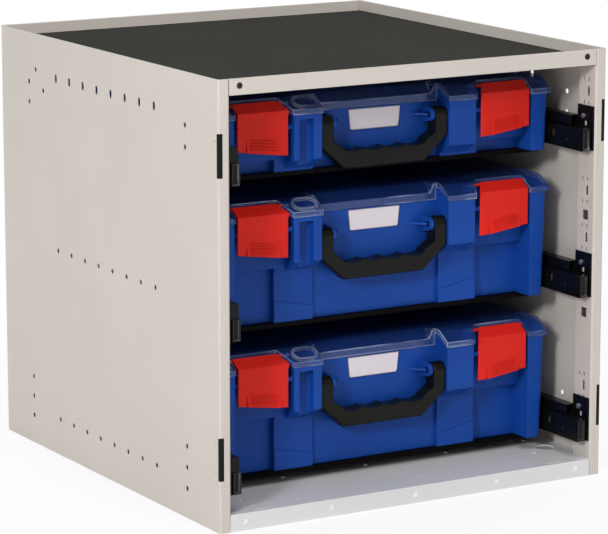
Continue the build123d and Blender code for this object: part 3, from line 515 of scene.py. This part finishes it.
@dataclass(frozen=True)
class PlatedSteel:
    """Plated steel with a faint drawn grain and light stains."""

    name: str
    colour: Colour
    roughness: float = 0.32
    edge: float = 0.3 * MM
    drawn: Grain = Grain(500.0, 3.0, (1.0, 0.05, 1.0))
    drawn_rough: float = 0.16
    drawn_depth: float = 0.04 * MM
    drawn_relief: float = 0.25
    stain: Grain = Grain(60.0, 3.0)
    stain_band: Band = (0.4, 0.75)
    stain_dark: float = 0.82
    stain_rough: float = 0.08
    rough_mean: float = 0.1

    def make(self) -> bpy.types.Material:
        """Build the material.

        Returns:
            The material.
        """
        graph = Graph(self.name)
        drawn = graph.noise(self.drawn)
        stain = graph.noise(self.stain).between(*self.stain_band)
        rough = drawn * self.drawn_rough + stain * self.stain_rough + (self.roughness - self.rough_mean)
        return graph.close(graph.glossy({
            "Base Color": graph.blend(stain, self.colour, shade(self.colour, self.stain_dark)),
            "Metallic": 1.0,
            "Roughness": rough,
            "Normal": graph.bumped(drawn, self.drawn_depth, self.drawn_relief, self.edge),
        }))


@dataclass(frozen=True)
class CoatedCard:
    """Blank card with a faint fibre and a painted gap shadow darkening its edges."""

    name: str
    colour: Colour
    roughness: float = 0.38
    shine: float = 0.4
    edge: float = 0.3 * MM
    fibre: Grain = Grain(1500.0, 4.0, (1.0, 1.0, 0.25))
    fibre_rough: float = 0.15
    fibre_depth: float = 0.03 * MM
    fibre_relief: float = 0.2
    # The next three fields paint the shadow of the gap around the card
    gap_shadow_reach: float = 2.1 * MM
    gap_shadow_band: Band = (0.02, 0.1)
    gap_shadow_dark: float = 0.06

    def make(self) -> bpy.types.Material:
        """Build the material.

        Returns:
            The material.
        """
        graph = Graph(self.name)
        fibre = graph.noise(self.fibre)
        # Darker edges: a painted shadow of the gap around the card
        gap_shadow = graph.edges(self.gap_shadow_reach, self.gap_shadow_band)
        return graph.close(graph.glossy({
            "Base Color": graph.blend(gap_shadow, self.colour, shade(self.colour, self.gap_shadow_dark)),
            "Roughness": fibre * self.fibre_rough + self.roughness,
            "Normal": graph.bumped(fibre, self.fibre_depth, self.fibre_relief, self.edge),
            "Specular IOR Level": self.shine,
        }))


class Finish(Enum):
    """The object's finishes."""

    PAINT = PowderCoat("light_powder_coat", (0.58, 0.536, 0.487))
    FLOOR = PowderCoat("floor_powder_coat", (0.69, 0.69, 0.69), roughness=0.22, peel=0.1, shine=0.6)
    SLIDE = PowderCoat(
        "black_slide_coat", (0.0035, 0.0038, 0.004), roughness=0.34, peel=0.15, edge=0.6 * MM, shine=0.2
    )
    TRAY = PowderCoat(
        "black_tray_coat", (0.002, 0.002, 0.0022), roughness=0.55, peel=0.15, edge=0.6 * MM, shine=0.05
    )
    MAT = GrainedRubber("grained_mat", (0.034, 0.034, 0.027))
    TUB = MouldedPlastic("blue_case", (0.0065, 0.054, 0.30), roughness=0.38, shine=0.16)
    LID = ClearPlastic(
        "clear_lid",
        tint=(0.96, 0.975, 1.0),
        # Painted blue of the lit tub seen through the lid, then the painted highlight colour of its edges
        level=(0.025, 0.075, 0.34),
        lit_tub_through_walls=(0.06, 0.125, 0.42),
        highlight_line=(0.82, 0.86, 0.94),
    )
    LATCH = MouldedPlastic("red_latch", (0.66, 0.017, 0.009), roughness=0.4, rub=1.05, shine=0.16)
    HANDLE = MouldedPlastic(
        "black_handle", (0.0042, 0.0044, 0.003), roughness=0.26, edge=2.4 * MM, rub=1.3, shine=0.16
    )
    CAP = MouldedPlastic(
        "black_cap", (0.0028, 0.0028, 0.0031), roughness=0.2, edge=1.4 * MM, rub=1.3, shine=0.18
    )
    # Bumpers carry the pale edge line: partly wear, partly a painted highlight
    BUMPER = MouldedPlastic(
        "glinting_worn_bumper", (0.0028, 0.0028, 0.0031), roughness=0.2, rub=1.3, shine=0.18, wear_and_glint=0.9
    )
    CARD = CoatedCard("label_card", (0.72, 0.66, 0.71))
    ZINC = PlatedSteel("zinc_steel", (0.80, 0.80, 0.81), roughness=0.42)
    DARK = PlatedSteel("dark_screw", (0.06, 0.06, 0.062), roughness=0.45)


@dataclass
class Workshop:
    """Makes materials once and puts pieces into the scene."""

    merge: float = 1e-6
    flat_angle: float = math.radians(0.8)
    round_angle: float = math.radians(32)
    crease_angle: float = math.radians(38)
    made: dict[Finish, bpy.types.Material] = field(default_factory=dict)

    def material(self, finish: Finish) -> bpy.types.Material:
        """The material of a finish, made on first use.

        Args:
            finish: the finish.

        Returns:
            Its material.
        """
        if finish not in self.made:
            self.made[finish] = finish.value.make()
        return self.made[finish]

    def dress(self, node: str, finish: Finish) -> None:
        """Give a CAD node a finish.

        Args:
            node: the CAD node.
            finish: its finish.
        """
        slots = frame["nodes"][node].data.materials
        slots.clear()
        slots.append(self.material(finish))
        LOG.info("dressed %s with %s", node, finish.name)

    def piece(
        self, name: str, body: str, finish: Finish, mesh: bmesh.types.BMesh
    ) -> bpy.types.Object:
        """Turn a bmesh into a piece that rides on a body.

        Args:
            name: the piece's name.
            body: the CAD body it moves with.
            finish: its finish.
            mesh: its shape, freed here.

        Returns:
            The new object.
        """
        data = bpy.data.meshes.new(name)
        mesh.to_mesh(data)
        mesh.free()
        data.materials.append(self.material(finish))
        made = bpy.data.objects.new(name, data)
        bpy.context.scene.collection.objects.link(made)
        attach(made, body)
        LOG.info("made %s on %s", name, body)
        return made

    def copied(self, node: str) -> bmesh.types.BMesh:
        """Copy a CAD node's mesh, with its points merged and its flat faces joined.

        Args:
            node: the CAD node.

        Returns:
            The copy.
        """
        mesh = bmesh.new()
        mesh.from_mesh(frame["nodes"][node].data)
        bmesh.ops.remove_doubles(mesh, verts=mesh.verts, dist=self.merge)
        bmesh.ops.dissolve_limit(
            mesh, angle_limit=self.flat_angle, verts=mesh.verts, edges=mesh.edges, delimit={"NORMAL"}
        )
        return mesh

    def stand_in(self, node: str, finish: Finish, mesh: bmesh.types.BMesh) -> None:
        """Put a reworked copy in a CAD node's place.

        Args:
            node: the CAD node that it replaces.
            finish: the copy's finish.
            mesh: the copy's shape, freed here.
        """
        for face in mesh.faces:
            face.smooth = True
        body, slot = node_facts(node)
        made = self.piece(f"{node}_soft", body, finish, mesh)
        made.data.set_sharp_from_angle(angle=self.crease_angle)
        weigh = made.modifiers.new("weighted", "WEIGHTED_NORMAL")
        weigh.keep_sharp = True
        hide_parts(node)

    def softened(
        self, node: str, finish: Finish, width: float, segments: int = 2, inset: float = 0.0
    ) -> None:
        """Stand a copy of a CAD node, with its sharp edges rounded, in the node's place.

        Args:
            node: the CAD node.
            finish: the copy's finish.
            width: width of the rounding in metres.
            segments: steps of the rounding.
            inset: how far its left, right, top and bottom edges are drawn in, in metres.
        """
        mesh = self.copied(node)
        folds = [edge for edge in mesh.edges if len(edge.link_faces) == 2]
        sharp = [edge for edge in folds if edge.calc_face_angle(0.0) > self.round_angle]
        bmesh.ops.bevel(
            mesh, geom=sharp, offset=width, offset_type="WIDTH", affect="EDGES", segments=segments,
            profile=0.5, material=-1, clamp_overlap=True, loop_slide=True,
        )
        if inset:
            low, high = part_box(node)
            middle, size = (low + high) / 2, high - low
            for vert in mesh.verts:
                vert.co.x -= (vert.co.x - middle.x) * 2 * inset / size.x
                vert.co.z -= (vert.co.z - middle.z) * 2 * inset / size.z
        self.stand_in(node, finish, mesh)


def node_facts(node: str) -> tuple[str, str]:
    """Body and material slot of a CAD node.

    Args:
        node: the node's name.

    Returns:
        The body's name and the slot's name.
    """
    record = frame["record"]
    body = next(b for b, members in record["behaviour"]["bodies"].items() if node in members)
    slot = next(s["material_slot"] for s in record["subparts"] if s["node"] == node)
    return body, slot


@dataclass
class Cabinet:
    """Folded steel shell with its mat, screws and nuts."""

    panels: tuple[str, ...] = ("left_side_panel", "right_side_panel", "back_panel", "top_panel")
    mat_round: float = 0.8 * MM
    mat_steps: int = 3

    def dress(self, shop: Workshop) -> None:
        """Give every node of the shell its finish.

        Args:
            shop: where the finishes are made.
        """
        for panel in self.panels:
            shop.dress(panel, Finish.PAINT)
        shop.dress("bottom_panel", Finish.FLOOR)
        shop.dress("rail_screws", Finish.DARK)
        shop.dress("rail_nuts", Finish.ZINC)
        shop.dress("slide_screws", Finish.ZINC)
        shop.dress("slot_plugs", Finish.CAP)
        shop.dress("slide_catches", Finish.CAP)

    def build_mat(self, shop: Workshop) -> None:
        """Lay the mat with rounded edges."""
        shop.softened("top_mat", Finish.MAT, self.mat_round, self.mat_steps)


@dataclass
class SlideSet:
    """The two telescopic slides and the tray of one level."""

    level: str
    cap_rim: float = 1.0 * MM
    cap_hollow: float = 2.6 * MM
    cap_facing: float = -0.9999
    rivet_radius: float = 1.6 * MM
    rivet_proud: float = 0.5 * MM
    rivet_setback: float = 31.0 * MM
    rivet_lift: float = 10.5 * MM
    rivet_around: int = 20
    rivet_rings: int = 10

    def dress(self, shop: Workshop) -> None:
        """Give every node of the slides its finish.

        Args:
            shop: where the finishes are made.
        """
        for side in SIDES:
            shop.dress(f"{self.level}_{side}_fixed_rail", Finish.SLIDE)
            shop.dress(f"{self.level}_{side}_mid_rail", Finish.ZINC)
            shop.dress(f"{self.level}_{side}_drawer_rail", Finish.SLIDE)
        shop.dress(f"{self.level}_carrier_tray", Finish.TRAY)
        shop.dress(f"{self.level}_tray_screws", Finish.ZINC)

    def build_caps(self, shop: Workshop) -> None:
        """Hollow the front of each rail's bumper and leave a rim.

        Args:
            shop: where the bumpers are made.
        """
        node = f"{self.level}_rail_caps"
        mesh = shop.copied(node)
        ahead = [face for face in mesh.faces if face.normal.y < self.cap_facing]
        fronts = sorted(ahead, key=lambda face: face.calc_area())[-len(SIDES):]
        bmesh.ops.inset_individual(mesh, faces=fronts, thickness=self.cap_rim, use_even_offset=True)
        sunk = [vert for face in fronts for vert in face.verts]
        bmesh.ops.translate(mesh, vec=Vector((0.0, self.cap_hollow, 0.0)), verts=sunk)
        shop.stand_in(node, Finish.BUMPER, mesh)

    def build_rivets(self, shop: Workshop) -> None:
        """Set a small domed rivet in the web of each moving rail.

        Args:
            shop: where the rivets are made.
        """
        mesh = bmesh.new()
        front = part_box(f"{self.level}_rail_caps")[0].y
        turn = Matrix.Rotation(math.radians(90), 4, "Y")
        flat = Matrix.Scale(self.rivet_proud / self.rivet_radius, 4, Vector((1.0, 0.0, 0.0)))
        for side in SIDES:
            low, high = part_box(f"{self.level}_{side}_drawer_rail")
            inner = high.x if side == "left" else low.x
            spot = Vector((inner, front + self.rivet_setback, low.z + self.rivet_lift))
            dome = bmesh.ops.create_uvsphere(
                mesh, u_segments=self.rivet_around, v_segments=self.rivet_rings, radius=self.rivet_radius
            )
            bmesh.ops.transform(mesh, matrix=Matrix.Translation(spot) @ flat @ turn, verts=dome["verts"])
        for face in mesh.faces:
            face.smooth = True
        shop.piece(f"{self.level}_rail_rivets", f"{self.level}_drawer", Finish.DARK, mesh)


@dataclass
class CarryingCase:
    """One lidded case: tub, clear lid, latches, handle and label."""

    level: str
    tub_round: float = 0.9 * MM
    latch_round: float = 0.7 * MM
    label_round: float = 0.3 * MM
    label_inset: float = 0.2 * MM

    def build(self, shop: Workshop) -> None:
        """Round the moulded pieces and give each its finish.

        Args:
            shop: where the pieces are made.
        """
        shop.softened(f"{self.level}_tub", Finish.TUB, self.tub_round)
        for side in SIDES:
            shop.softened(f"{self.level}_{side}_latch", Finish.LATCH, self.latch_round)
        shop.softened(f"{self.level}_label", Finish.CARD, self.label_round, inset=self.label_inset)
        shop.dress(f"{self.level}_lid", Finish.LID)
        shop.dress(f"{self.level}_handle", Finish.HANDLE)
        shop.dress(f"{self.level}_hinge_pins", Finish.ZINC)


@dataclass(frozen=True)
class Lamp:
    """A soft round lamp: its place and width in metres, its power in watts, and whether gloss shows it."""

    name: str
    place: Triple
    size: float
    power: float
    mirrored: bool = True


@dataclass
class Studio:
    """Pale floor, soft lamps, world light and the camera at the photograph's angle."""

    target: Triple = (0.0115, 0.0, 0.2236)
    azimuth: float = -30.35
    elevation: float = 11.42
    distance: float = 3.869
    lens: float = 192.85
    sensor: float = 36.0
    sight: float = 200.0
    floor_half: float = 60.0
    floor_cells: int = 4
    floor_colour: Colour = (0.92, 0.92, 0.92)
    floor_roughness: float = 0.9
    floor_shine: float = 0.1
    floor_near: float = 0.82
    white_from: float = 0.7
    white_at: float = 2.2
    world_strength: float = 0.36
    lamps: tuple[Lamp, ...] = (
        Lamp("key_lamp", (-3.0, -2.1, 1.7), 0.7, 75.0),
        Lamp("front_lamp", (0.6, -3.8, 1.6), 1.6, 8.0),
        Lamp("top_lamp", (-0.2, -1.6, 3.1), 1.8, 32.0),
        Lamp("back_lamp", (0.3, 3.6, 2.4), 2.4, 60.0, mirrored=False),
        Lamp("right_lamp", (3.6, 1.2, 1.8), 2.0, 44.0, mirrored=False),
    )

    def build(self) -> None:
        """Make the stage, the lamps and the camera."""
        self.build_floor()
        self.build_world()
        for lamp in self.lamps:
            self.build_lamp(lamp)
        self.build_camera()

    def build_floor(self) -> None:
        """Lay a large pale floor that runs out to white and keeps the object's shadow."""
        mesh = bmesh.new()
        bmesh.ops.create_grid(
            mesh, x_segments=self.floor_cells, y_segments=self.floor_cells, size=self.floor_half
        )
        data = bpy.data.meshes.new("floor")
        mesh.to_mesh(data)
        mesh.free()
        data.materials.append(self.floor_material())
        floor = bpy.data.objects.new("floor", data)
        bpy.context.scene.collection.objects.link(floor)

    def floor_material(self) -> bpy.types.Material:
        """Make the floor's finish, which the camera and mirrors see whiter than the lamps light it.

        Returns:
            The material.
        """
        graph = Graph("pale_floor")
        ground = graph.glossy({
            "Base Color": opaque(self.floor_colour),
            "Roughness": self.floor_roughness,
            "Specular IOR Level": self.floor_shine,
        })
        white = graph.add("ShaderNodeEmission", {}, {"Color": opaque(WHITE), "Strength": 1.0})
        reach = graph.add("ShaderNodeVectorMath", {"operation": "LENGTH"}, {0: graph.place}, "Value")
        path = graph.node("ShaderNodeLightPath", {}, {}).outputs
        seen = Flow(graph, path["Is Camera Ray"]).math("MAXIMUM", Flow(graph, path["Is Glossy Ray"]))
        seen = seen.math("MAXIMUM", Flow(graph, path["Is Transmission Ray"]))
        share = reach.between(self.white_from, self.white_at, self.floor_near) * seen
        return graph.close(graph.layered(share, ground, white))

    def build_world(self) -> None:
        """Give the world a plain white light."""
        world = bpy.data.worlds.new("studio")
        world.use_nodes = True
        background = world.node_tree.nodes["Background"]
        background.inputs["Color"].default_value = opaque(WHITE)
        background.inputs["Strength"].default_value = self.world_strength
        bpy.context.scene.world = world

    def build_lamp(self, lamp: Lamp) -> None:
        """Hang one soft area lamp that faces the object.

        Args:
            lamp: the lamp's facts.
        """
        data = bpy.data.lights.new(lamp.name, "AREA")
        data.shape = "DISK"
        data.size = lamp.size
        data.energy = lamp.power
        hung = bpy.data.objects.new(lamp.name, data)
        hung.visible_glossy = lamp.mirrored
        hung.location = lamp.place
        aim = Vector(self.target) - Vector(lamp.place)
        hung.rotation_euler = aim.to_track_quat("-Z", "Y").to_euler()
        bpy.context.scene.collection.objects.link(hung)

    def build_camera(self) -> None:
        """Set the camera at the photograph's viewpoint."""
        turn, lift = math.radians(self.azimuth), math.radians(self.elevation)
        back = Vector((math.sin(turn) * math.cos(lift), -math.cos(turn) * math.cos(lift), math.sin(lift)))
        data = bpy.data.cameras.new("camera")
        data.sensor_width = self.sensor
        data.lens = self.lens
        data.clip_end = self.sight
        camera = bpy.data.objects.new("camera", data)
        camera.location = Vector(self.target) + back * self.distance
        camera.rotation_euler = (-back).to_track_quat("-Z", "Y").to_euler()
        bpy.context.scene.collection.objects.link(camera)
        bpy.context.scene.camera = camera
        bpy.context.scene.view_settings.view_transform = "Standard"


def main() -> None:
    """Build every sub-assembly in order."""
    logging.basicConfig(level=logging.INFO, format="%(message)s")
    shop = Workshop()
    cabinet = Cabinet()
    cabinet.dress(shop)
    cabinet.build_mat(shop)
    for level in LEVELS:
        slides = SlideSet(level)
        slides.dress(shop)
        slides.build_caps(shop)
        slides.build_rivets(shop)
        CarryingCase(level).build(shop)
    Studio().build()


if __name__ == "__main__":
    main()
